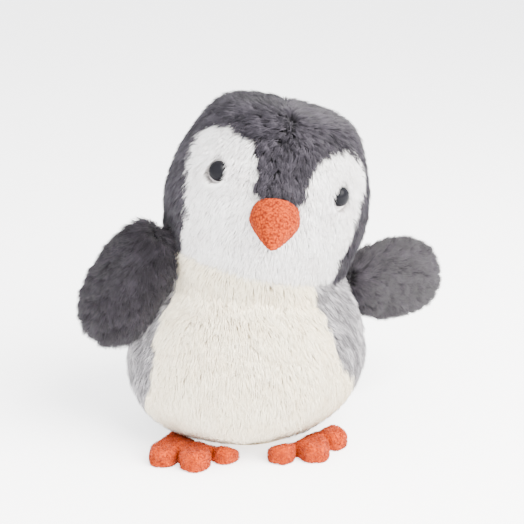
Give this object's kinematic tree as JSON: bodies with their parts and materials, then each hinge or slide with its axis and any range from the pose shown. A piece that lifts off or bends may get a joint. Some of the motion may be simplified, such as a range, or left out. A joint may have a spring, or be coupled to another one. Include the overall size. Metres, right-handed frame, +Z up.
{
  "type": "plush penguin",
  "caption": "Sitting plush penguin with a round pellet-weighted body, turning head, flapping flippers and flexing three-toed feet.",
  "frame": {"origin": "middle of the flat base, on the surface the toy sits on", "axes": "+Z up, the toy faces -Y, +X is the toy's own left"},
  "size_m": [0.1847, 0.1225, 0.1709],
  "materials": {
    "charcoal_plush": "long charcoal fur cloth with lighter tips",
    "white_plush": "white fur cloth",
    "cream_plush": "cream fur cloth",
    "silver_plush": "silver-grey fur cloth with white fibres",
    "orange_boucle": "nubby looped orange cloth",
    "orange_fleece": "short orange fleece",
    "eye_black": "polished black",
    "washer_plastic": "natural moulded plastic",
    "fibre_fill": "white polyester fibre",
    "bag_cloth": "plain woven cotton",
    "pellet_plastic": "small plastic pellets"
  },
  "bodies": {
    "torso": {"back_panel_left": "silver_plush", "back_panel_right": "silver_plush", "base_panel": "cream_plush", "belly_panel": "cream_plush", "body_stuffing": "fibre_fill", "pellet_bag": "bag_cloth", "pellet_fill": "pellet_plastic"},
    "head": {"beak_lower": "orange_boucle", "beak_stuffing": "fibre_fill", "beak_upper": "orange_boucle", "crown_left": "charcoal_plush", "crown_right": "charcoal_plush", "eye_left": "eye_black", "eye_right": "eye_black", "eye_washer_left": "washer_plastic", "eye_washer_right": "washer_plastic", "face_panel": "white_plush", "head_stuffing": "fibre_fill"},
    "flipper_left": {"flipper_left_back": "charcoal_plush", "flipper_left_front": "charcoal_plush", "flipper_left_stuffing": "fibre_fill"},
    "flipper_right": {"flipper_right_back": "charcoal_plush", "flipper_right_front": "charcoal_plush", "flipper_right_stuffing": "fibre_fill"},
    "foot_left": {"foot_left_sole": "orange_fleece", "foot_left_stuffing": "fibre_fill", "foot_left_top": "orange_fleece"},
    "foot_right": {"foot_right_sole": "orange_fleece", "foot_right_stuffing": "fibre_fill", "foot_right_top": "orange_fleece"}
  },
  "joints": [
    {"name": "neck_turn", "type": "hinge", "parent": "torso", "child": "head", "pos_m": [0.0044, 0, 0.092], "axis": [0.225, 0, 0.9744], "range_deg": [-30, 30], "stiffness_Nm_per_rad": 0.12},
    {"name": "flipper_left_flap", "type": "hinge", "parent": "torso", "child": "flipper_left", "pos_m": [0.06118, 0.00871, 0.0708], "axis": [0.5381, -0.8069, 0.2436], "range_deg": [-40, 30], "stiffness_Nm_per_rad": 0.05},
    {"name": "flipper_right_flap", "type": "hinge", "parent": "torso", "child": "flipper_right", "pos_m": [-0.0481, -0.01471, 0.0986], "axis": [-0.5084, -0.8264, 0.2419], "range_deg": [-80, 0], "stiffness_Nm_per_rad": 0.05},
    {"name": "foot_left_flex", "type": "hinge", "parent": "torso", "child": "foot_left", "pos_m": [0.01353, -0.00895, 0.0015], "axis": [-0.9135, -0.4067, 0], "range_deg": [-15, 4], "stiffness_Nm_per_rad": 0.03},
    {"name": "foot_right_flex", "type": "hinge", "parent": "torso", "child": "foot_right", "pos_m": [-0.029, -0.0095, 0.0015], "axis": [-1, 0, 0], "range_deg": [-15, 4], "stiffness_Nm_per_rad": 0.03}
  ]
}
